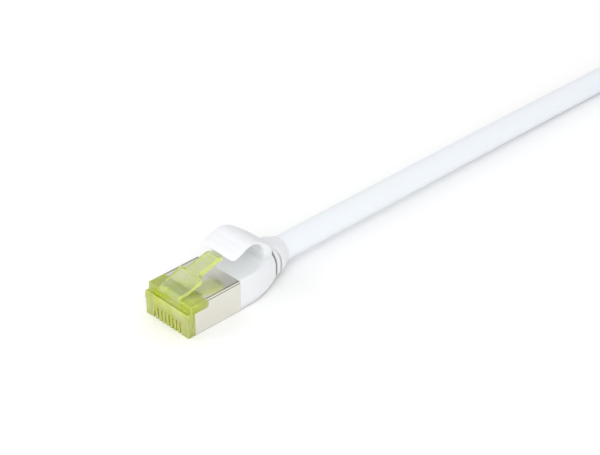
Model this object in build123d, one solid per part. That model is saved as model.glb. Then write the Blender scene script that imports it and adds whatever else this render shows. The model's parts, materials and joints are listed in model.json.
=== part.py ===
from build123d import *
from math import atan2, cos, degrees, pi, radians, sin, tan
import os

# A shielded 8P8C network patch cable. Each plug is drawn in its own frame: x across, y from the
# nose (0) back to the mouth of the boot, z up from the underside. Then it is placed on the cable.
# Millimetres.

# Plug body
WIDTH = 11.7
HEIGHT = 6.5
LIP_DEPTH = 0.95            # the low step along the nose
LIP_HEIGHT = 5.0
BAND_FLOOR = 3.4            # lower edge of the smooth band across the nose
BAND_PROUD = 0.12
SEAM_Y = 1.14               # upright seam in each side of the nose
SEAM = 0.12                 # width of the fine seams
EDGE = 0.3                  # rounding of the nose's upper edges

# Shield
SHEET = 0.25
FIT = 0.03                  # play between the housing and the shield
FOLD = 0.15                 # width and depth of the two seams along each folded top edge
SHIELD_FRONT = 1.8
SHIELD_TOP_FRONT = 4.6
SHIELD_FLOOR_FRONT = 8.0
SHIELD_REAR = 12.85
EAR_REAR = 5.15
EAR_FLOOR = 4.7
EAR_ROUND = 0.6
TAB_HALF = 3.2              # rear tabs, moulded into the boot
TAB_REAR = 15.4
TAB_STEP = 0.9

# Contacts and wires
POSITIONS = 8
PITCH = 1.02
SLOT_WIDTH = 0.5
SLOT_REAR = 5.2
SLOT_TOP = 2.6
BLADE = 0.35
BLADE_FLOOR = 0.55
PRONG_Y = (2.3, 3.3)
PRONG_TOP = 3.75
CHAMBER_FRONT = 1.4
CHAMBER_HALF = 4.35
CHAMBER_Z = (2.9, 5.0)
HOUSING_REAR = 12.4
WIRE = 0.9
WIRE_Z = 3.55
WIRE_FRONT = 1.6
WIRE_NAMES = (
    "white_orange", "orange", "white_green", "blue", "white_blue", "green", "white_brown", "brown")
BAR_Y = (6.2, 11.6)         # the wire guide
BAR_GAP = 0.05

# Boot and what it is moulded round
AXIS_Z = 3.6                # height of the cable's axis where it leaves the boot
CABLE = 5.2                 # outer diameter of the jacket
BOOT_SQUARE = 16.8          # the boot is as wide as the plug up to here
BOOT_REAR = 28.3
CORNER = 0.4
JACKET_FRONT = 23.2
SLEEVE_FRONT = 16.1
SLEEVE = 4.3                # outer diameter of the braid
FERRULE_Y = (16.5, 20.3)
FERRULE = 5.0
BUNDLE = 1.35               # radius on which the eight wires lie in the braid
GROOVE_CORE = 3.7           # radius left under the flex grooves
GROOVES = ((23.1, 23.7), (24.75, 25.25))
WEB = 1.1                   # bridge left across the front groove, on each side
SPINE_HALF = 2.4            # the boot's spine, which the grooves leave whole

# Latch: it turns about LATCH_PIVOT (y, z) in a shallow seat in the nose
LATCH_PIVOT = (1.2, 6.85)
LATCH_ROUND = 0.45
LATCH_WIDE = 3.1            # half-widths
LATCH_NARROW = 1.65
LATCH_ROOT = 2.7
SHOULDER_Y = 6.6
LATCH_TIP = 12.9
RECESS = 0.2                # depth of the latch's face between its edge rails
RAIL = 0.45                 # width of the rails
SEAT_PLAY = 0.05

# Guard: it turns about GUARD_PIVOT (y, z) in a seat in the collar of the boot
GUARD_PIVOT = (22.05, 7.65)
GUARD_ROUND = 1.2
GUARD_FRONT = 12.4
GUARD_HALF = 4.5
GUARD_ROOT_HALF = 3.8

# Cable: its route from the first boot to the coil, the coil, and its route to the second boot
ROUTE_A = (
    (0.0, 14.15, 3.6), (0.0, 66.0, 3.6), (-0.6, 118.5, 2.7), (0.0, 142.0, 2.6),
)
ROUTE_B = (
    (62.3, 142.0, 7.4), (62.35, 130.0, 7.8), (62.0, 116.5, 3.6), (61.6, 104.5, 3.6),
)
COIL_CENTRE = (32.5, 142.0)
COIL_RADIUS = 27.2          # of the middle turns
LAY = 5.3                   # spacing of the turns side by side
ROW_RISE = 4.6              # spacing of the two rows of turns
TURNS = (1, 0, -1, -0.5, 0.5)   # place of each turn across the bundle; the last is half a turn
TIE_WIDTH = 9.0
TIE_THICK = 0.8
TIE_ANGLE = 90.0            # where the tie is, round the coil from +x


def block(x0, x1, y0, y1, z0, z1):
    return Pos((x0 + x1) / 2, (y0 + y1) / 2, (z0 + z1) / 2) * Box(x1 - x0, y1 - y0, z1 - z0)


def upright(outline, half):
    """A solid from a (y, z) outline, as wide as twice half."""
    face = make_face(Polyline(*[(0, y, z) for y, z in outline], close=True).edges())
    return extrude(face, half, dir=(1, 0, 0), both=True)


def flat(outline, z0, z1):
    """A solid from an (x, y) outline between two heights."""
    face = make_face(Polyline(*[(x, y, z0) for x, y in outline], close=True).edges())
    return extrude(face, z1 - z0, dir=(0, 0, 1))


def mirrored(half_outline):
    """The whole (x, y) outline from its +x half, given from front to back."""
    return half_outline + [(-x, y) for x, y in reversed(half_outline)]


def rod(y0, y1, radius, x=0.0, z=AXIS_Z):
    return Pos(x, (y0 + y1) / 2, z) * Rot(90, 0, 0) * Cylinder(radius, y1 - y0)


def cross_rod(pivot, radius, half):
    return Pos(0, *pivot) * Rot(0, 90, 0) * Cylinder(radius, 2 * half)


def wire_x(i):
    return (i - (POSITIONS - 1) / 2) * PITCH


def ear_block():
    """The top of the nose, with the two ears that lap the shield's sides."""
    ears = block(-WIDTH / 2, WIDTH / 2, LIP_DEPTH, EAR_REAR, EAR_FLOOR, HEIGHT)
    return fillet(ears.edges().filter_by(Axis.X).group_by(Axis.Y)[-1], EAR_ROUND)


def housing():
    half = WIDTH / 2
    inner = half - SHEET - FIT
    top = HEIGHT - SHEET - FIT
    lip = block(-half, half, 0, LIP_DEPTH, BAND_FLOOR, LIP_HEIGHT)
    lip = fillet(lip.edges().filter_by(Axis.X).group_by(Axis.Y)[0].group_by(Axis.Z)[-1], EDGE)
    nose = block(-half, half, BAND_PROUD, SHIELD_FRONT, 0, LIP_HEIGHT)
    for side in (-1, 1):
        nose -= Pos(side * half, SEAM_Y, 0) * Box(2 * SEAM, 1.6 * SEAM, 2 * EAR_FLOOR)
    ears = ear_block()
    ears = fillet(ears.edges().filter_by(Axis.X).group_by(Axis.Y)[0].group_by(Axis.Z)[-1], EDGE)
    ears -= block(-inner, inner, SHIELD_TOP_FRONT, EAR_REAR, EAR_FLOOR, HEIGHT)
    shape = nose + lip + ears
    shape += block(-inner, inner, SHIELD_FRONT, HOUSING_REAR, 0, top)
    shape -= block(-inner, inner, SHIELD_FLOOR_FRONT, HOUSING_REAR, 0, SHEET + FIT)
    shape -= block(-CHAMBER_HALF, CHAMBER_HALF, CHAMBER_FRONT, HOUSING_REAR, *CHAMBER_Z)
    for i in range(POSITIONS):
        x0, x1 = wire_x(i) - SLOT_WIDTH / 2, wire_x(i) + SLOT_WIDTH / 2
        shape -= block(x0, x1, 0, SLOT_REAR, 0, SLOT_TOP)
        shape -= block(x0, x1, *PRONG_Y, SLOT_TOP, CHAMBER_Z[0])
    return shape - cross_rod(LATCH_PIVOT, LATCH_ROUND + SEAT_PLAY, LATCH_ROOT + 2 * SEAT_PLAY)


def latch():
    side = [
        (LATCH_PIVOT[0], 7.3), (2.0, 7.47), (4.0, 7.95), (SHOULDER_Y, 9.0), (11.5, 10.3),
        (12.3, 9.95), (LATCH_TIP, 9.8), (LATCH_TIP, 9.2), (11.4, 9.35), (8.0, 8.3),
        (SHOULDER_Y, 7.9), (4.0, 7.3), (2.2, 6.85), (LATCH_PIVOT[0], 6.6),
    ]
    plan = mirrored([
        (LATCH_ROOT, LATCH_PIVOT[0]), (LATCH_WIDE, 2.6), (LATCH_WIDE, SHOULDER_Y - 0.5),
        (LATCH_WIDE - 0.5, SHOULDER_Y), (LATCH_NARROW, SHOULDER_Y + 0.15),
        (LATCH_NARROW, LATCH_TIP - 0.5), (LATCH_NARROW - 0.5, LATCH_TIP),
    ])
    shape = upright(side, LATCH_WIDE) & flat(plan, 0, 2 * HEIGHT)
    shape += cross_rod(LATCH_PIVOT, LATCH_ROUND, LATCH_ROOT)
    narrow = upright([(7.2, 9.16), (10.9, 10.15), (10.9, 11.5), (7.2, 11.5)], LATCH_NARROW - RAIL)
    wide = upright(
        [(2.5, 7.59), (4.0, 7.95), (6.0, 8.76), (6.0, 11.0), (2.5, 11.0)], LATCH_WIDE - RAIL)
    window = block(-1.15, 1.15, 1.05, 1.4, 7.3 - RECESS, 8)
    return shape - Pos(0, 0, -RECESS) * (narrow + wide) - window


def shield_shell():
    half = WIDTH / 2
    shell = block(-half, half, SHIELD_FRONT, SHIELD_REAR, 0, HEIGHT)
    shell -= block(SHEET - half, half - SHEET, SHIELD_FRONT, SHIELD_REAR, SHEET, HEIGHT - SHEET)
    shell -= block(SHEET - half, half - SHEET, SHIELD_FRONT, SHIELD_FLOOR_FRONT, 0, SHEET)
    shell -= ear_block()
    shell -= block(SHEET - half, half - SHEET, 0, SHIELD_TOP_FRONT, EAR_FLOOR, HEIGHT)
    for side in (-1, 1):
        seam = Box(FOLD, SHIELD_REAR, 2 * FOLD)
        shell -= Pos(side * (half - 2 * FOLD), SHIELD_REAR / 2, HEIGHT) * seam
        shell -= Pos(side * half, SHIELD_REAR / 2, HEIGHT - 2.5 * FOLD) * Rot(0, 90, 0) * seam
    rear = SHIELD_REAR - SHEET
    for z0, z1, lip in ((HEIGHT - SHEET - TAB_STEP, HEIGHT - SHEET, 0), (SHEET, SHEET + TAB_STEP, 1)):
        shell += block(-TAB_HALF, TAB_HALF, rear, SHIELD_REAR, z0, z1)
        shelf = z1 - SHEET if lip else z0
        shell += block(-TAB_HALF, TAB_HALF, rear, TAB_REAR, shelf, shelf + SHEET)
    return shell


def contacts():
    blade = upright([
        (0.85, BLADE_FLOOR), (SLOT_REAR, BLADE_FLOOR), (SLOT_REAR, SLOT_TOP), (PRONG_Y[1], SLOT_TOP),
        (PRONG_Y[1] - 0.2, PRONG_TOP - 0.4), (sum(PRONG_Y) / 2, PRONG_TOP),
        (PRONG_Y[0] + 0.2, PRONG_TOP - 0.4), (PRONG_Y[0], SLOT_TOP), (0.35, SLOT_TOP), (0.35, 1.05),
        (0.5, 0.7),
    ], BLADE / 2)
    return Compound([Pos(wire_x(i), 0, 0) * blade for i in range(POSITIONS)])


def load_bar():
    half, z0, z1 = CHAMBER_HALF - BAR_GAP, CHAMBER_Z[0] + BAR_GAP, CHAMBER_Z[1] - BAR_GAP
    window = wire_x(POSITIONS - 1) + WIRE / 2 + BAR_GAP
    bar = block(-half, half, *BAR_Y, z0, z1)
    return bar - block(-window, window, *BAR_Y, WIRE_Z - WIRE / 2 - 0.02, WIRE_Z + WIRE / 2 + 0.02)


def wires(blades):
    """Eight wires: in a row through the wire guide, then closing in to lie round the axis."""
    around = (202.5, 157.5, 247.5, 112.5, 67.5, 292.5, 22.5, 337.5)
    made = []
    for i, angle in enumerate(around):
        x, bx = wire_x(i), BUNDLE * cos(radians(angle))
        bz = AXIS_Z + BUNDLE * sin(radians(angle))
        path = FilletPolyline(
            (x, WIRE_FRONT, WIRE_Z), (x, 12.5, WIRE_Z), (0.9 * x, 13.9, bz), (bx, 15.6, bz),
            (bx, JACKET_FRONT, bz), radius=0.9)
        start = Plane(origin=(x, WIRE_FRONT, WIRE_Z), z_dir=(0, 1, 0))
        made.append(sweep(start * Circle(WIRE / 2), path=path) - blades)
    return made


def boot():
    stations = (                        # y, half-width, underside, top, corner radius
        (BOOT_SQUARE, WIDTH / 2, 0, HEIGHT, CORNER),
        (20.0, 5.45, 0, 6.75, 1.5),
        (22.8, 4.75, 0.1, 7.1, 2.5),
        (24.2, 4.35, 0.25, 6.95, 2.9),
        (25.6, 4.1, 0.3, 6.85, 3.1),
        (26.8, 3.6, 0.45, 6.65, 3.0),
        (27.6, 3.1, 0.65, 6.5, 2.85),
        (BOOT_REAR, 2.8, 0.85, 6.35, 2.7),
    )
    faces = [
        Plane(origin=(0, y, (z0 + z1) / 2), x_dir=(1, 0, 0), z_dir=(0, 1, 0))
        * RectangleRounded(2 * half, z1 - z0, radius)
        for y, half, z0, z1, radius in stations
    ]
    front = Plane(origin=(0, SHIELD_REAR, HEIGHT / 2), x_dir=(1, 0, 0), z_dir=(0, 1, 0))
    square = extrude(front * RectangleRounded(WIDTH, HEIGHT, CORNER), BOOT_SQUARE - SHIELD_REAR)
    return square + loft(faces, ruled=True)


def boot_hollow():
    """The room that the boot leaves for what it is moulded round."""
    room = block(-4.9, 4.9, SHIELD_REAR, SLEEVE_FRONT, 0.6, HEIGHT - 0.6)
    room += rod(SLEEVE_FRONT, FERRULE_Y[1], FERRULE / 2)
    room += rod(SLEEVE_FRONT, JACKET_FRONT, SLEEVE / 2)
    return room + rod(JACKET_FRONT, BOOT_REAR, CABLE / 2)


def boot_grooves():
    cut = None
    for n, (y0, y1) in enumerate(GROOVES):
        ring = block(-WIDTH, WIDTH, y0, y1, -1, 2 * HEIGHT) - rod(y0, y1, GROOVE_CORE)
        ring -= block(-SPINE_HALF, SPINE_HALF, y0, y1, AXIS_Z, 2 * HEIGHT)
        if n == 0:
            for side in (-1, 1):
                web = Pos(0, (y0 + y1) / 2, AXIS_Z) * Rot(0, side * 40, 0) * Box(2 * WIDTH, y1 - y0, WEB)
                ring -= web & block(*sorted((0, side * WIDTH)), y0, y1, -5, AXIS_Z)
        cut = ring if cut is None else cut + ring
    return cut


def guard():
    """The arched band over the latch's tip, on its round root."""
    outer = Spline(*[(0, y, z) for y, z in (
        (GUARD_FRONT, 10.45), (14.2, 11.25), (15.8, 11.85), (17.1, 12.25), (18.65, 12.0),
        (19.9, 11.3), (21.5, 10.1), (22.8, 8.9), (GUARD_PIVOT[0] + GUARD_ROUND, GUARD_PIVOT[1]))])
    inner = Spline(*[(0, y, z) for y, z in (
        (GUARD_FRONT + 0.35, 10.12), (13.5, 10.25), (14.75, 10.73), (15.8, 11.15), (17.25, 11.4),
        (18.6, 11.05), (19.8, 10.2), (20.6, 9.0), (GUARD_PIVOT[0] - GUARD_ROUND, GUARD_PIVOT[1]))])
    lip = Line(outer @ 0, inner @ 0)
    root = Line(outer @ 1, inner @ 1)
    side = extrude(make_face([outer, inner, lip, root]), GUARD_HALF, dir=(1, 0, 0), both=True)
    plan = mirrored([
        (GUARD_HALF - 0.7, GUARD_FRONT - 0.2), (GUARD_HALF, GUARD_FRONT + 0.6), (GUARD_HALF, 14.8),
        (GUARD_HALF - 0.2, 17.5), (GUARD_ROOT_HALF, 21.0), (GUARD_ROOT_HALF, 24),
    ])
    return (side & flat(plan, 0, 2 * HEIGHT)) + cross_rod(GUARD_PIVOT, GUARD_ROUND, GUARD_ROOT_HALF)


def plug():
    """Every piece of one plug, by name, in the plug's own frame."""
    blades = contacts()
    pieces = {
        "housing": housing(),
        "latch": latch(),
        "shield_shell": shield_shell(),
        "contacts": blades,
        "load_bar": load_bar(),
        "crimp_ferrule": rod(*FERRULE_Y, FERRULE / 2) - rod(*FERRULE_Y, SLEEVE / 2),
        "braid_sleeve": rod(SLEEVE_FRONT, JACKET_FRONT, SLEEVE / 2)
        - rod(SLEEVE_FRONT, JACKET_FRONT, BUNDLE + WIRE / 2 + 0.03),
        "jacket_end": rod(JACKET_FRONT, BOOT_REAR, CABLE / 2),
        "guard": guard(),
    }
    seat = cross_rod(GUARD_PIVOT, GUARD_ROUND + SEAT_PLAY, GUARD_ROOT_HALF + SEAT_PLAY)
    pieces["boot"] = boot() - boot_hollow() - boot_grooves() - seat
    for name, wire in zip(WIRE_NAMES, wires(blades)):
        pieces["wire_" + name] = wire
    return pieces


def place(mouth, beyond):
    """Stands a plug on the floor with its boot's mouth at one end of the cable, in line with it."""
    turn = degrees(atan2(mouth[0] - beyond[0], beyond[1] - mouth[1]))
    return Pos(mouth[0], mouth[1], 0) * Rot(0, 0, turn) * Pos(0, -BOOT_REAR, 0)


def tube(name, points):
    """A length of cable along straight runs joined by tangent arcs, as wide as the runs allow."""
    route = [Vector(*p) for p in points]
    runs = [b - a for a, b in zip(route, route[1:])]
    radii = [
        0.45 * min(a.length, b.length) / tan(radians(a.get_angle(b)) / 2)
        for a, b in zip(runs, runs[1:])
    ]
    path = FilletPolyline(*route, radius=radii)
    solid = sweep(Plane(origin=route[0], z_dir=runs[0]) * Circle(CABLE / 2), path=path)
    length = path.length
    print(name, "length", round(length, 1), "radii", [round(r) for r in radii],
          "volume / (section x length)", round(solid.volume / (pi * CABLE ** 2 / 4 * length), 4))
    return solid, length


def wound_length():
    turns = [2 * pi * (COIL_RADIUS + place * LAY) for place in TURNS]
    return sum(turns) - turns[-1] / 2


def bundle():
    """Cross-section of the wound cable: three turns on the floor, two in the hollows on top."""
    wide, high = 1.5 * LAY, CABLE + ROW_RISE
    outline = Polyline(
        (-wide, 0), (wide, 0), (wide, CABLE / 2), (LAY, high), (-LAY, high), (-wide, CABLE / 2),
        close=True)
    return fillet(make_face(outline).vertices(), CABLE / 4)


def coil_and_tie():
    """The wound cable as one ring, waisted where a strap round it is pulled tight."""
    section = bundle()
    waist = offset(section, -TIE_THICK)
    ring = revolve(Plane.XZ * Pos(COIL_RADIUS, 0) * section, Axis.Z)
    across = Rot(0, 0, TIE_ANGLE) * Pos(COIL_RADIUS, 0, 0)
    ring -= across * Box(2 * COIL_RADIUS, TIE_WIDTH, 4 * CABLE)
    ring += across * extrude(Plane.XZ * waist, TIE_WIDTH / 2, both=True)
    strap = across * extrude(Plane.XZ * (section - waist), TIE_WIDTH / 2, both=True)
    centre = Pos(*COIL_CENTRE, 0)
    return centre * ring, centre * strap


def main():
    os.makedirs("parts", exist_ok=True)
    nodes = {}
    for end, where in (("a", place(*ROUTE_A[:2])), ("b", place(*ROUTE_B[:-3:-1]))):
        for name, piece in plug().items():
            nodes[f"{name}_{end}"] = where * piece
    nodes["cable"], lead = tube("cable", ROUTE_A)
    nodes["cable_tail"], tail = tube("cable_tail", ROUTE_B)
    nodes["cable_coil"], nodes["cable_tie"] = coil_and_tie()
    free = lead + wound_length() + tail
    print("cable between the boots", round(free, 1), "with both plugs", round(free + 2 * BOOT_REAR, 1))
    for name, piece in nodes.items():
        export_step(piece, f"parts/{name}.step")


main()
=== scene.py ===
import json
from math import atan2, cos, exp, pi, radians, sin

import bmesh
import bpy
from mathutils import Matrix, Vector


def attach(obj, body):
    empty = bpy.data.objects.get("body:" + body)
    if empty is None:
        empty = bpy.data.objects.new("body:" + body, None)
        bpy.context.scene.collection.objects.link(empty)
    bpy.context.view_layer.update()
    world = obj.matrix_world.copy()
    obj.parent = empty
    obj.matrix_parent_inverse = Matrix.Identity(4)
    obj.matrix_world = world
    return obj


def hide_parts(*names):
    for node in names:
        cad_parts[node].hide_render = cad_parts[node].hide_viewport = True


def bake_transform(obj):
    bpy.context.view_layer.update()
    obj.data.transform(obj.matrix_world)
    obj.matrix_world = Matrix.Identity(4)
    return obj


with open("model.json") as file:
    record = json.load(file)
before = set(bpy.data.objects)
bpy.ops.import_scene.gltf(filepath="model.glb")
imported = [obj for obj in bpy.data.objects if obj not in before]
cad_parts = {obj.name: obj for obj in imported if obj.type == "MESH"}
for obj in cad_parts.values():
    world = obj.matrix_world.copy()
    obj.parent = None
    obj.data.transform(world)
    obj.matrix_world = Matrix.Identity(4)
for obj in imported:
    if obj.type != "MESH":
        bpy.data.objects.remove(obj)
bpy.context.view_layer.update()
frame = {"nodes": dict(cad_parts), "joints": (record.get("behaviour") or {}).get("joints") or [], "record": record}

# A shielded network patch cable. The boot and guard are drawn in their plug's own frame, in
# millimetres: x across, y from the nose (0) back to the mouth of the boot, z up. plug_matrix()
# puts them in the row frame.
MM = 0.001
SCENE = bpy.context.scene

# Plug, in its own frame
GUARD_PIVOT = (22.05, 7.65)     # y, z of the guard's hinge
AXIS_Z = 3.6                    # height of the cable's axis where it leaves the boot
CABLE = 5.2                     # outer diameter of the jacket

# Cable: the route's control points in the row frame, in metres, and the coil between them
ROUTE_A = [
    (0.0, 0.01415, 0.0036), (0.0, 0.066, 0.0036), (-0.0006, 0.1185, 0.0027),
]
ROUTE_B = [
    (0.06235, 0.13, 0.0078), (0.062, 0.1165, 0.0036), (0.0616, 0.1045, 0.0036),
]
COIL_CENTRE = (32.5, 142.0)     # x, y in the row frame; the coil and the tie are in millimetres
COIL_RADIUS = 27.2              # to the middle of the bundle
LAY = 5.3                       # from one turn to the next beside it
ROW_RISE = 4.6                  # from the lower row of turns to the upper
TURNS = 4.5
TURN_POINTS = 24                # control points in a turn
MOVE_FROM, MOVE_TO = 0.76, 0.98     # the part of a turn in which it moves over to the next place
TIE_ANGLE = 90.0                # where on the coil the tie is
TIE_HUMP = 22.0                 # how far each side of the tie the turns lift over it, in degrees
TIE_THICK = 0.8
TIE_WIDTH = 9.0
TIE_LAP = 0.6                   # thickness of the strap's end, which lies on the strap
LAP_FIRST, LAP_LAST = 13, 31    # that end's place among the points of tie_loop()
WAVE_SCALE = 2 * pi / 20        # a wave texture's scale for one band in each unit


# ---------------------------------------------------------------- helpers

def plug_matrix(end):
    """From a plug's own frame in millimetres to the row frame, found from its guard's hinge."""
    joint = next(j for j in frame["joints"] if j["name"] == f"guard_{end}_press")
    turn = Matrix.Rotation(atan2(joint["axis"][1], joint["axis"][0]), 4, "Z")
    pivot = Matrix.Translation((0, -GUARD_PIVOT[0], -GUARD_PIVOT[1]))
    return Matrix.Translation(joint["pos_m"]) @ turn @ Matrix.Scale(MM, 4) @ pivot


def make_object(name, mesh_or_curve):
    made = bpy.data.objects.new(name, mesh_or_curve)
    SCENE.collection.objects.link(made)
    return made


def mesh_from(name, build):
    """A mesh object from a function that fills a bmesh."""
    bm = bmesh.new()
    build(bm)
    bmesh.ops.recalc_face_normals(bm, faces=bm.faces)
    mesh = bpy.data.meshes.new(name)
    bm.to_mesh(mesh)
    bm.free()
    return make_object(name, mesh)


def apply_modifiers(obj):
    """Leaves the object's mesh as its modifiers make it."""
    graph = bpy.context.evaluated_depsgraph_get()
    mesh = bpy.data.meshes.new_from_object(obj.evaluated_get(graph))
    obj.modifiers.clear()
    obj.data = mesh


def smooth(obj, angle=35):
    obj.data.shade_smooth()
    obj.data.set_sharp_from_angle(angle=radians(angle))


def weight_normals(obj):
    modifier = obj.modifiers.new("flat_faces", "WEIGHTED_NORMAL")
    modifier.keep_sharp = True


def paint(obj, material):
    obj.data.materials.clear()
    obj.data.materials.append(material)


def softened(node, width, material, segments=3, paint_sides_lit=False):
    """A copy of a CAD node with rounded edges, which rides on its body and stands for it.

    The rounded strips carry a face mask at 1, on which materials paint a highlight colour, and
    when the sides are to be painted lit, the flanks and the rear end carry it too.
    """
    def build(bm):
        bm.from_mesh(frame["nodes"][node].data)
        # a face mask on which the materials paint a highlight colour
        painted_rim = bm.faces.layers.float.new("painted_rim")
        bmesh.ops.remove_doubles(bm, verts=bm.verts, dist=0.002 * MM)
        bmesh.ops.dissolve_limit(bm, angle_limit=radians(1), verts=bm.verts, edges=bm.edges)
        sharp = [e for e in bm.edges if e.is_manifold and e.calc_face_angle(0) > radians(28)]
        rounded = bmesh.ops.bevel(
            bm, geom=sharp, offset=width * MM, segments=segments, profile=0.5, affect="EDGES",
            clamp_overlap=True)["faces"]
        # the flanks and the rear end, which can also be painted as lit
        flanks = [f for f in bm.faces if abs(f.normal.x) > 0.6 or f.normal.y > 0.5]
        for face in rounded + (flanks if paint_sides_lit else []):
            face[painted_rim] = 1.0
    made = mesh_from(node + "_shape", build)
    smooth(made)
    weight_normals(made)
    paint(made, material)
    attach(made, node_body(node))
    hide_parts(node)
    return made


def node_body(node):
    return next(b for b, nodes in frame["record"]["behaviour"]["bodies"].items() if node in nodes)


def catmull(points, per_span):
    """Points on a smooth curve through the given ones; each may hold any number of values."""
    made = []
    last = len(points) - 1
    for i in range(last):
        a, b, c, d = (points[min(max(j, 0), last)] for j in (i - 1, i, i + 1, i + 2))
        for k in range(per_span):
            t = k / per_span
            made.append(tuple(
                0.5 * (2 * q + (r - p) * t + (2 * p - 5 * q + 4 * r - s) * t * t
                       + (3 * q - p - 3 * r + s) * t ** 3)
                for p, q, r, s in zip(a, b, c, d)))
    return made + [tuple(points[last])]


def skin(bm, loops):
    """Quads between closed loops of points, with both ends filled."""
    rings = [[bm.verts.new(p) for p in loop] for loop in loops]
    for a, b in zip(rings, rings[1:]):
        for i in range(len(a)):
            j = (i + 1) % len(a)
            bm.faces.new((a[i], a[j], b[j], b[i]))
    bm.faces.new(rings[0])
    bm.faces.new(rings[-1])


# ---------------------------------------------------------------- camera and cable

CAMERA_AT = (187.90, -164.52, 174.42)
CAMERA_YAW = 45.555
CAMERA_PITCH = 32.6
LENS = 97.34
SENSOR = 36.0


def add_camera():
    camera = bpy.data.cameras.new("camera")
    camera.sensor_width = SENSOR
    camera.lens = LENS
    camera.clip_start = 0.01
    camera.clip_end = 20
    holder = make_object("camera", camera)
    holder.location = [v * MM for v in CAMERA_AT]
    holder.rotation_euler = (radians(90 - CAMERA_PITCH), 0, radians(CAMERA_YAW))
    SCENE.camera = holder


def coil_points():
    """Control points of the wound cable: three turns on the floor, then one and a half on top.

    Every turn moves over to the next place in the bundle at the same side of the coil, so that
    the turns stay side by side.
    """
    places = [(LAY, 0), (0, 0), (-LAY, 0), (-LAY / 2, ROW_RISE), (LAY / 2, ROW_RISE)]
    points = []
    for i in range(int(TURNS * TURN_POINTS) + 1):
        turn, part = divmod(i / TURN_POINTS, 1)
        turn = int(turn)
        over = min(max((part - MOVE_FROM) / (MOVE_TO - MOVE_FROM), 0), 1)
        over = over * over * (3 - 2 * over) if turn < len(places) - 1 else 0
        here, there = places[turn], places[min(turn + 1, len(places) - 1)]
        side = here[0] + (there[0] - here[0]) * over
        rise = here[1] + (there[1] - here[1]) * over
        if turn == 2:                   # round the inside of the bundle, up to the second row
            side -= 0.5 * CABLE * sin(pi * over)
        angle = 180 - 360 * i / TURN_POINTS
        from_tie = (angle - TIE_ANGLE + 180) % 360 - 180
        rise += TIE_THICK * exp(-(from_tie / TIE_HUMP) ** 2)
        radius = (COIL_RADIUS + side) / cos(pi / TURN_POINTS)
        points.append((
            (COIL_CENTRE[0] + radius * cos(radians(angle))) * MM,
            (COIL_CENTRE[1] + radius * sin(radians(angle))) * MM,
            (CABLE / 2 + rise) * MM))
    return points


def add_cable():
    curve = bpy.data.curves.new("patch_lead", "CURVE")
    curve.dimensions = "3D"
    points = ROUTE_A + coil_points() + ROUTE_B
    line = curve.splines.new("NURBS")
    line.points.add(len(points) - 1)
    for point, place in zip(line.points, points):
        point.co = (*place, 1)
    line.order_u = 3
    line.use_endpoint_u = True
    line.resolution_u = 6
    curve.bevel_depth = CABLE / 2 * MM
    curve.bevel_resolution = 9
    return make_object("patch_lead", curve)


# ---------------------------------------------------------------- materials

def shader(name, colour, roughness, more={}):
    """A Principled material. Returns it with its node tree and shader node."""
    material = bpy.data.materials.new(name)
    material.use_nodes = True
    tree = material.node_tree
    bsdf = tree.nodes["Principled BSDF"]
    bsdf.inputs["Base Color"].default_value = (*colour, 1)
    bsdf.inputs["Roughness"].default_value = roughness
    for socket, value in more.items():
        bsdf.inputs[socket].default_value = value
    return material, tree, bsdf


def noise(tree, scale, detail, stretch=(1, 1, 1)):
    """Noise in the object's own coordinates; scale is in features per metre."""
    place = tree.nodes.new("ShaderNodeTexCoord")
    mapping = tree.nodes.new("ShaderNodeMapping")
    mapping.inputs["Scale"].default_value = stretch
    texture = tree.nodes.new("ShaderNodeTexNoise")
    texture.inputs["Scale"].default_value = scale
    texture.inputs["Detail"].default_value = detail
    tree.links.new(place.outputs["Object"], mapping.inputs["Vector"])
    tree.links.new(mapping.outputs["Vector"], texture.inputs["Vector"])
    return texture.outputs["Fac"]


def bands(tree, vector, direction, per_unit):
    """Stripes across one axis of the given vector, so many to each of its units."""
    wave = tree.nodes.new("ShaderNodeTexWave")
    wave.bands_direction = direction
    wave.inputs["Scale"].default_value = per_unit * WAVE_SCALE
    wave.inputs["Distortion"].default_value = 0.6
    wave.inputs["Detail Scale"].default_value = 3.0
    tree.links.new(vector, wave.inputs["Vector"])
    return wave.outputs["Fac"]


def crossed(tree, first, second):
    """The product of two patterns."""
    both = tree.nodes.new("ShaderNodeMath")
    both.operation = "MULTIPLY"
    tree.links.new(first, both.inputs[0])
    tree.links.new(second, both.inputs[1])
    return both.outputs["Value"]


def turned(tree, degrees):
    """The object's own coordinates, turned about the vertical."""
    place = tree.nodes.new("ShaderNodeTexCoord")
    mapping = tree.nodes.new("ShaderNodeMapping")
    mapping.inputs["Rotation"].default_value = (0, 0, radians(degrees))
    tree.links.new(place.outputs["Object"], mapping.inputs["Vector"])
    return mapping.outputs["Vector"]


def add_bump(tree, bsdf, height, depth, strength):
    bump = tree.nodes.new("ShaderNodeBump")
    bump.inputs["Strength"].default_value = strength
    bump.inputs["Distance"].default_value = depth * MM
    tree.links.new(height, bump.inputs["Height"])
    tree.links.new(bump.outputs["Normal"], bsdf.inputs["Normal"])


def stretched(tree, fac, low, high):
    """The part of a pattern's range from low to high, drawn out to 0 and 1."""
    span = tree.nodes.new("ShaderNodeMapRange")
    span.inputs["From Min"].default_value = low
    span.inputs["From Max"].default_value = high
    tree.links.new(fac, span.inputs["Value"])
    return span.outputs["Result"]


def vary(tree, bsdf, fac, socket, low, high):
    """Drives a shader input between two values or two colours."""
    if isinstance(low, tuple):
        mix = tree.nodes.new("ShaderNodeMix")
        mix.data_type = "RGBA"
        mix.inputs["A"].default_value = (*low, 1)
        mix.inputs["B"].default_value = (*high, 1)
        tree.links.new(fac, mix.inputs["Factor"])
        out = mix.outputs["Result"]
    else:
        span = tree.nodes.new("ShaderNodeMapRange")
        span.inputs["To Min"].default_value = low
        span.inputs["To Max"].default_value = high
        tree.links.new(fac, span.inputs["Value"])
        out = span.outputs["Result"]
    tree.links.new(out, bsdf.inputs[socket])


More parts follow.
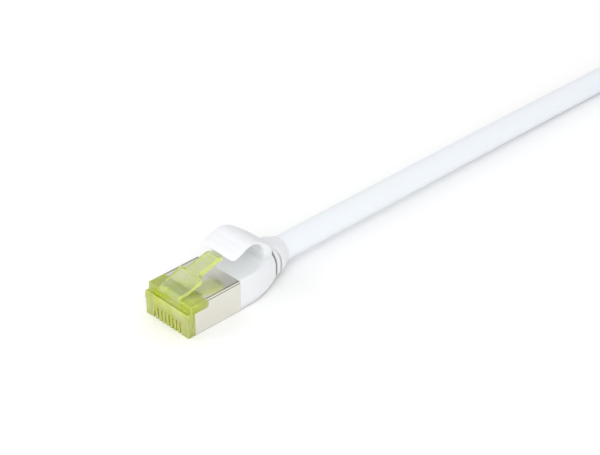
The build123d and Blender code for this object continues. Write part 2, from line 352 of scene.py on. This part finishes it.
def paint_crevice_shade(tree, bsdf, reach, colour):
    """Paints shade into the base colour where the surface is closed in, within reach millimetres."""
    open_air = tree.nodes.new("ShaderNodeAmbientOcclusion")
    open_air.inputs["Distance"].default_value = reach * MM
    open_air.samples = 8
    mix = tree.nodes.new("ShaderNodeMix")
    mix.data_type = "RGBA"
    mix.inputs["A"].default_value = (*colour, 1)
    socket = bsdf.inputs["Base Color"]
    if socket.is_linked:
        tree.links.new(socket.links[0].from_socket, mix.inputs["B"])
    else:
        mix.inputs["B"].default_value = socket.default_value
    tree.links.new(open_air.outputs["AO"], mix.inputs["Factor"])
    tree.links.new(mix.outputs["Result"], socket)


def clear_lime(name, pale, deep, clear, painted_rim, tint, density):
    """Clear tinted plastic: cloudy inside, with a painted highlight where its corners are rounded off."""
    material, tree, bsdf = shader(name, pale, 0.08, {"IOR": 1.5})
    vary(tree, bsdf, stretched(tree, noise(tree, 320, 2), 0.36, 0.66), "Base Color", pale, deep)
    paint_rim_highlight(tree, bsdf, painted_rim, clear, 0.45 * clear)
    vary(tree, bsdf, noise(tree, 900, 2), "Roughness", 0.02, 0.09)
    add_bump(tree, bsdf, noise(tree, 300, 2), 0.04, 0.35)
    depth = tree.nodes.new("ShaderNodeVolumeAbsorption")
    depth.inputs["Color"].default_value = (*tint, 1)
    depth.inputs["Density"].default_value = density
    tree.links.new(depth.outputs["Volume"], tree.nodes["Material Output"].inputs["Volume"])
    return material


def paint_rim_highlight(tree, bsdf, colour, clear, rim_clear):
    """Paints a highlight colour on the faces in the highlight mask, and makes them less clear."""
    painted_rim = tree.nodes.new("ShaderNodeAttribute")
    painted_rim.attribute_name = "painted_rim"
    mix = tree.nodes.new("ShaderNodeMix")
    mix.data_type = "RGBA"
    tree.links.new(bsdf.inputs["Base Color"].links[0].from_socket, mix.inputs["A"])
    mix.inputs["B"].default_value = (*colour, 1)
    tree.links.new(painted_rim.outputs["Fac"], mix.inputs["Factor"])
    tree.links.new(mix.outputs["Result"], bsdf.inputs["Base Color"])
    vary(tree, bsdf, painted_rim.outputs["Fac"], "Transmission Weight", clear, rim_clear)


def clear_guide():
    material, tree, bsdf = shader(
        "clear_guide", (0.93, 0.97, 0.9), 0.15, {"Transmission Weight": 0.8})
    vary(tree, bsdf, noise(tree, 1500, 2), "Roughness", 0.1, 0.3)
    return material


def nickel():
    material, tree, bsdf = shader("nickel", (0.78, 0.765, 0.69), 0.3, {"Metallic": 1.0})
    drawn = noise(tree, 6000, 3, (1, 0.02, 1))
    vary(tree, bsdf, drawn, "Roughness", 0.16, 0.3)
    add_bump(tree, bsdf, drawn, 0.001, 0.2)
    # painted shade: the seams and folds go near black where they are closed in
    paint_crevice_shade(tree, bsdf, 0.25, (0.05, 0.05, 0.04))
    return material


def metal(name, colour, low, high):
    material, tree, bsdf = shader(name, colour, low, {"Metallic": 1.0})
    worn = noise(tree, 4000, 3)
    vary(tree, bsdf, worn, "Roughness", low, high)
    add_bump(tree, bsdf, worn, 0.002, 0.3)
    return material


def moulded_white():
    material, tree, bsdf = shader(
        "moulded_white", (0.77, 0.785, 0.805), 0.45,
        {"Subsurface Weight": 0.15, "Subsurface Scale": 0.0006, "Subsurface Radius": (1, 1, 1)})
    vary(tree, bsdf, noise(tree, 800, 3), "Base Color", (0.76, 0.775, 0.795), (0.78, 0.795, 0.815))
    vary(tree, bsdf, noise(tree, 2500, 3), "Roughness", 0.4, 0.55)
    add_bump(tree, bsdf, noise(tree, 9000, 3), 0.01, 0.35)
    # painted shade: grey in the grooves and in the hollow under the guard's arch
    paint_crevice_shade(tree, bsdf, 1.4, (0.4, 0.42, 0.37))
    return material


def jacket():
    material, tree, bsdf = shader(
        "jacket", (0.79, 0.825, 0.865), 0.4,
        {"Subsurface Weight": 0.1, "Subsurface Scale": 0.0006, "Subsurface Radius": (1, 1, 1)})
    vary(tree, bsdf, noise(tree, 350, 3), "Base Color", (0.78, 0.815, 0.855), (0.8, 0.835, 0.875))
    vary(tree, bsdf, noise(tree, 2000, 3), "Roughness", 0.34, 0.48)
    add_bump(tree, bsdf, noise(tree, 7000, 3), 0.01, 0.3)
    return material


def insulation(name, colour):
    """One wire's plastic. A white wire has a ring of its pair's colour every few millimetres."""
    material, tree, bsdf = shader("insulation_" + name, colour, 0.4)
    if name.startswith("white_"):
        ring = stretched(tree, bands(tree, turned(tree, 0), "Y", 400), 0.6, 0.7)
        vary(tree, bsdf, ring, "Base Color", (0.78, 0.78, 0.76), colour)
    else:
        dull = tuple(0.85 * c for c in colour)
        vary(tree, bsdf, noise(tree, 1500, 2), "Base Color", dull, colour)
    vary(tree, bsdf, noise(tree, 3000, 2), "Roughness", 0.32, 0.5)
    return material


def braided():
    """Tinned wire in two sets of strands that cross."""
    material, tree, bsdf = shader("braid", (0.6, 0.59, 0.56), 0.4, {"Metallic": 1.0})
    weave = crossed(
        tree, bands(tree, turned(tree, 35), "X", 2200), bands(tree, turned(tree, -35), "X", 2200))
    vary(tree, bsdf, weave, "Base Color", (0.35, 0.34, 0.32), (0.72, 0.71, 0.68))
    vary(tree, bsdf, noise(tree, 9000, 2), "Roughness", 0.35, 0.6)
    add_bump(tree, bsdf, weave, 0.08, 0.8)
    return material


def webbing():
    """Woven strap: ribs across it, crossed by finer threads, from its "weave" attribute."""
    material, tree, bsdf = shader("webbing", (0.6, 0.63, 0.68), 0.85, {"Sheen Weight": 0.4})
    place = tree.nodes.new("ShaderNodeAttribute")
    place.attribute_name = "weave"
    along = place.outputs["Vector"]
    weave = crossed(tree, bands(tree, along, "Y", 1.6), bands(tree, along, "X", 2.2))
    vary(tree, bsdf, weave, "Base Color", (0.4, 0.43, 0.48), (0.74, 0.77, 0.82))
    vary(tree, bsdf, noise(tree, 3000, 2), "Roughness", 0.75, 0.95)
    add_bump(tree, bsdf, weave, 0.15, 0.9)
    return material


WIRES = {
    "white_orange": (0.8, 0.22, 0.03), "orange": (0.8, 0.22, 0.03),
    "white_green": (0.02, 0.3, 0.06), "blue": (0.03, 0.1, 0.5),
    "white_blue": (0.03, 0.1, 0.5), "green": (0.02, 0.3, 0.06),
    "white_brown": (0.16, 0.07, 0.03), "brown": (0.16, 0.07, 0.03),
}


# ---------------------------------------------------------------- boot and guard

# Boot: y, half-width, underside, top, corner radius
BOOT_STATIONS = [
    (12.85, 5.85, 0.0, 6.5, 0.4), (15.0, 5.85, 0.0, 6.5, 0.4), (16.8, 5.83, 0.0, 6.5, 0.5),
    (20.0, 5.45, 0.0, 6.75, 1.5), (22.8, 4.75, 0.1, 7.1, 2.5), (24.2, 4.35, 0.25, 6.95, 2.9),
    (25.6, 4.1, 0.3, 6.85, 3.1), (26.8, 3.6, 0.45, 6.65, 3.0), (27.6, 3.1, 0.65, 6.5, 2.85),
    (28.3, 2.8, 0.85, 6.35, 2.7),
]
GROOVES = ((23.1, 23.7), (24.75, 25.25))
GROOVE_CORE = 3.7
GROOVE_END = 58                 # both grooves stop short of the spine, in degrees above level
WEB_FROM, WEB_TO = 28, 58       # the bridge over the front groove, in degrees below level

# Guard: its upper and lower side, as (y, z)
GUARD_OUTER = [
    (12.4, 10.45), (14.2, 11.25), (15.8, 11.85), (17.1, 12.2), (18.65, 12.0), (19.9, 11.3),
    (21.5, 10.1), (22.8, 8.9), (23.25, 7.65), (23.3, 6.5),
]
GUARD_INNER = [
    (12.7, 10.12), (14.2, 10.5), (15.5, 11.0), (17.2, 11.4), (18.6, 11.05), (19.8, 10.2),
    (20.6, 9.0), (20.85, 8.1), (20.85, 7.3), (20.8, 6.5),
]
GUARD_CORNER = 0.9              # radius of the lip's corners, seen from above
GUARD_CROWN = 0.2               # height of the band's middle over its edges
GUARD_POINTS = 36               # points round a section
RIDGES = (13.6, 14.9, 16.2)     # grip ridges across the band, by y
RIDGE_HEIGHT, RIDGE_REACH = 0.04, 0.25
GUARD_SIDES = [(12.0, 4.5), (14.8, 4.5), (17.5, 4.3), (21.0, 3.85), (24.0, 3.85)]   # y, half-width


def rounded_section(y, half, low, high, radius):
    """Points round a rounded rectangle across the plug."""
    radius = min(radius, half - 0.01, (high - low) / 2 - 0.01)
    points = []
    corner, side = 12, 6                # steps round a corner and along a side
    centres = (
        (half - radius, high - radius, 0), (radius - half, high - radius, 90),
        (radius - half, low + radius, 180), (half - radius, low + radius, 270),
    )
    for n, (cx, cz, start) in enumerate(centres):
        arc = [
            (cx + radius * cos(radians(start + 90 * k / corner)),
             cz + radius * sin(radians(start + 90 * k / corner))) for k in range(corner + 1)
        ]
        nx, nz, turn = centres[(n + 1) % 4]
        following = (nx + radius * cos(radians(turn)), nz + radius * sin(radians(turn)))
        run = [
            tuple(a + (b - a) * k / side for a, b in zip(arc[-1], following))
            for k in range(1, side)
        ]
        points += arc + run
    return [(x, y, z) for x, z in points]


def boot_loops():
    """The boot's cross-sections from front to back, stepped in to its core in the grooves."""
    stations = catmull(BOOT_STATIONS, 8)

    def section(y):
        for a, b in zip(stations, stations[1:]):
            if a[0] <= y <= b[0]:
                t = (y - a[0]) / (b[0] - a[0])
                return rounded_section(*(p + (q - p) * t for p, q in zip(a, b)))
        return rounded_section(*stations[-1])

    edges = {y for groove in GROOVES for y in groove}
    lines = sorted({round(s[0], 3) for s in stations} - edges)
    loops = []
    for y in sorted(lines + [e + d for e in edges for d in (-0.02, 0.02)]):
        groove = next((n for n, (a, b) in enumerate(GROOVES) if a < y < b), None)
        loop = section(y)
        if groove is not None:
            loop = [into_groove(p, groove) for p in loop]
        loops.append(loop)
    return loops


def into_groove(point, groove):
    x, y, z = point
    angle = atan2(z - AXIS_Z, abs(x)) * 180 / pi
    if angle > GROOVE_END or groove == 0 and -WEB_TO < angle < -WEB_FROM:
        return point
    reach = GROOVE_CORE / max(((x * x + (z - AXIS_Z) ** 2) ** 0.5), GROOVE_CORE)
    return (x * reach, y, AXIS_Z + (z - AXIS_Z) * reach)


def guard_half_width(y):
    for (y0, w0), (y1, w1) in zip(GUARD_SIDES, GUARD_SIDES[1:]):
        if y <= y1:
            half = w0 + (w1 - w0) * (y - y0) / (y1 - y0)
            break
    short = min(max(GUARD_OUTER[0][0] + GUARD_CORNER - y, 0), GUARD_CORNER)
    return half - GUARD_CORNER + (GUARD_CORNER ** 2 - short ** 2) ** 0.5


def guard_loops():
    """The band's cross-sections from its lip to its root, with fine grip ridges near the lip."""
    outer, inner = (catmull(p, 10) for p in (GUARD_OUTER, GUARD_INNER))
    loops = []
    for n, (top, under) in enumerate(zip(outer, inner)):
        half = guard_half_width(top[0])
        ridge = sum(
            RIDGE_HEIGHT * exp(-((top[0] - place) / RIDGE_REACH) ** 2) for place in RIDGES)
        end = min(1.0, (n + 0.6) / 4.0) ** 0.5          # the lip is rounded off
        loop = []
        for k in range(GUARD_POINTS):
            a = 2 * pi * k / GUARD_POINTS
            u = abs(cos(a)) ** 0.28 * (1 if cos(a) > 0 else -1)
            v = abs(sin(a)) ** 0.5 * (1 if sin(a) > 0 else -1) * end
            mid = [(p + q) / 2 for p, q in zip(top, under)]
            lift = ridge * max(v, 0) * (1 - u ** 8)
            crown = GUARD_CROWN * (1 - u * u) * max(v, 0)
            loop.append((
                u * half,
                mid[0] + (top[0] - under[0]) / 2 * v,
                mid[1] + (top[1] - under[1]) / 2 * v + lift + crown - GUARD_CROWN / 2))
        loops.append(loop)
    return loops


def add_boot(end, material):
    """Boot and guard as one moulding."""
    def build(bm):
        skin(bm, boot_loops())
        skin(bm, guard_loops())
    made = mesh_from(f"boot_skin_{end}", build)
    remesh = made.modifiers.new("mould", "REMESH")
    remesh.mode = "VOXEL"
    remesh.voxel_size = 0.11
    soften = made.modifiers.new("soften", "SMOOTH")
    soften.factor = 0.5
    soften.iterations = 5
    thin = made.modifiers.new("thin", "DECIMATE")
    thin.ratio = 0.4
    apply_modifiers(made)
    matrix = plug_matrix(end)
    made.data.transform(matrix)
    made.data.shade_smooth()
    paint(made, material)
    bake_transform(made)
    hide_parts(f"boot_{end}", f"guard_{end}")
    return made


# ---------------------------------------------------------------- tie, floor and light

def tie_loop(inset):
    """The strap's line round the bundle of turns: offset from the coil's middle, and height."""
    reach = CABLE / 2 + TIE_THICK / 2 - inset
    centres = [(-LAY, CABLE / 2), (LAY, CABLE / 2), (LAY / 2, CABLE / 2 + ROW_RISE),
               (-LAY / 2, CABLE / 2 + ROW_RISE)]
    spans = ((180, 270), (270, 390), (30, 90), (90, 150))
    points = []
    for (x, z), (start, stop) in zip(centres, spans):
        for k in range(9):
            a = radians(start + (stop - start) * k / 8)
            points.append((x + reach * cos(a), z + TIE_THICK + reach * sin(a)))
    return points


def divided(points, count):
    """The same line with each of its steps cut into equal parts."""
    made = []
    for a, b in zip(points, points[1:]):
        made += [tuple(p + (q - p) * k / count for p, q in zip(a, b)) for k in range(count)]
    return made + [points[-1]]


def strap(bm, inner, outer, widths, closed):
    """A flat strap between two lines, each point with its own half-width.

    Its points carry where they are in the weave, across and along, in millimetres.
    """
    layers = bm.verts.layers.float_vector
    weave = layers.get("weave") or layers.new("weave")
    rows = []
    for across, ring in ((-1, outer), (1, outer), (1, inner), (-1, inner)):
        row, along = [], 0.0
        for i, ((x, z), half) in enumerate(zip(ring, widths)):
            along += (Vector((x, z)) - Vector(ring[max(i - 1, 0)])).length
            vert = bm.verts.new((COIL_RADIUS + x, across * half, z))
            vert[weave] = (across * half, along, 0)
            row.append(vert)
        rows.append(row)
    count = len(inner)
    for a, b in zip(rows, rows[1:] + rows[:1]):
        for i in range(count if closed else count - 1):
            j = (i + 1) % count
            bm.faces.new((a[i], a[j], b[j], b[i]))
    if not closed:
        bm.faces.new([row[0] for row in rows])
        bm.faces.new([row[-1] for row in rows])


def add_tie(material):
    """The strap, and its rounded end, which laps over the outside of the bundle."""
    half = TIE_WIDTH / 2
    under, over = tie_loop(-TIE_THICK / 2), tie_loop(-TIE_THICK / 2 - TIE_LAP)
    pairs = list(zip(under, over))[LAP_FIRST:LAP_LAST]
    line = divided([p + q for p, q in pairs], 3)

    def build(bm):
        ring = tie_loop(TIE_THICK / 2)
        strap(bm, ring, under, [half] * len(ring), True)
        widths = []
        for x, z, *_ in line:
            to_tip = (Vector((x, z)) - Vector(line[-1][:2])).length
            short = max(half - to_tip, 0)
            widths.append(0.25 + (half - 0.25) * (1 - (short / half) ** 2) ** 0.5)
        strap(bm, [p[:2] for p in line], [p[2:] for p in line], widths, False)
    made = mesh_from("tie_strap", build)
    bevel = made.modifiers.new("edge", "BEVEL")
    bevel.width = 0.15
    bevel.segments = 2
    bevel.angle_limit = radians(50)
    apply_modifiers(made)
    made.data.transform(
        Matrix.Translation((COIL_CENTRE[0] * MM, COIL_CENTRE[1] * MM, 0))
        @ Matrix.Rotation(radians(TIE_ANGLE), 4, "Z") @ Matrix.Scale(MM, 4))
    smooth(made, 50)
    paint(made, material)
    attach(made, "root")
    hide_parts("cable_tie")
    return made


def add_floor():
    def build(bm):
        corners = ((-3, -3), (3, -3), (3, 3), (-3, 3))
        bm.faces.new([bm.verts.new((x, y, 0)) for x, y in corners])
    floor = mesh_from("floor", build)
    paint(floor, shader("floor_white", (0.97, 0.97, 0.97), 0.6)[0])


def add_light(name, place, target, size, watts):
    lamp = bpy.data.lights.new(name, "AREA")
    lamp.shape = "DISK"
    lamp.size = size
    lamp.energy = watts
    holder = make_object(name, lamp)
    holder.location = place
    holder.rotation_euler = (Vector(target) - Vector(place)).to_track_quat("-Z", "Y").to_euler()


def add_studio():
    world = bpy.data.worlds.new("studio")
    SCENE.world = world
    world.use_nodes = True
    back = world.node_tree.nodes["Background"]
    back.inputs["Color"].default_value = (1, 1, 1, 1)
    back.inputs["Strength"].default_value = 0.79
    add_light("key", (0.75, -0.85, 0.75), (0, 0.03, 0), 1.2, 9.0)
    add_light("fill", (-0.6, -0.8, 0.6), (0, 0.03, 0), 0.8, 2.5)
    SCENE.view_settings.view_transform = "Standard"


# ---------------------------------------------------------------- build

def main():
    add_camera()
    lead = add_cable()
    paint(lead, jacket())
    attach(lead, "root")
    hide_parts("cable", "cable_coil", "cable_tail")
    tie = add_tie(webbing())

    white, shell = moulded_white(), nickel()
    # each lime's rim colour is a painted highlight on rounded edges, and on the latch's flanks and rear end
    body_lime = clear_lime(
        "body_lime", pale=(0.95, 1.0, 0.4), deep=(0.79, 0.94, 0.02), clear=0.62,
        painted_rim=(0.97, 1.0, 0.4), tint=(0.92, 0.97, 0.35), density=50)
    latch_lime = clear_lime(
        "latch_lime", pale=(0.9, 0.94, 0.66), deep=(0.82, 0.91, 0.42), clear=0.83,
        painted_rim=(0.87, 0.96, 0.3), tint=(0.84, 0.93, 0.35), density=85)
    gold = metal("gold", (0.85, 0.68, 0.34), 0.18, 0.3)
    tin = metal("tin", (0.7, 0.69, 0.66), 0.3, 0.5)
    braid = braided()
    guide = clear_guide()
    colours = {name: insulation(name, colour) for name, colour in WIRES.items()}
    far = [tie]
    for end in "ab":
        made = [
            softened(f"housing_{end}", 0.07, body_lime),
            softened(f"latch_{end}", 0.16, latch_lime, paint_sides_lit=True),
            softened(f"shield_shell_{end}", 0.05, shell, 2),
            add_boot(end, white),
        ]
        plain = {"contacts": gold, "load_bar": guide, "crimp_ferrule": tin,
                 "braid_sleeve": braid, "jacket_end": lead.data.materials[0]}
        plain.update({"wire_" + name: material for name, material in colours.items()})
        for name, material in plain.items():
            node = frame["nodes"][f"{name}_{end}"]
            paint(node, material)
            made.append(node)
        if end == "b":
            far += made
    add_floor()
    add_studio()


main()
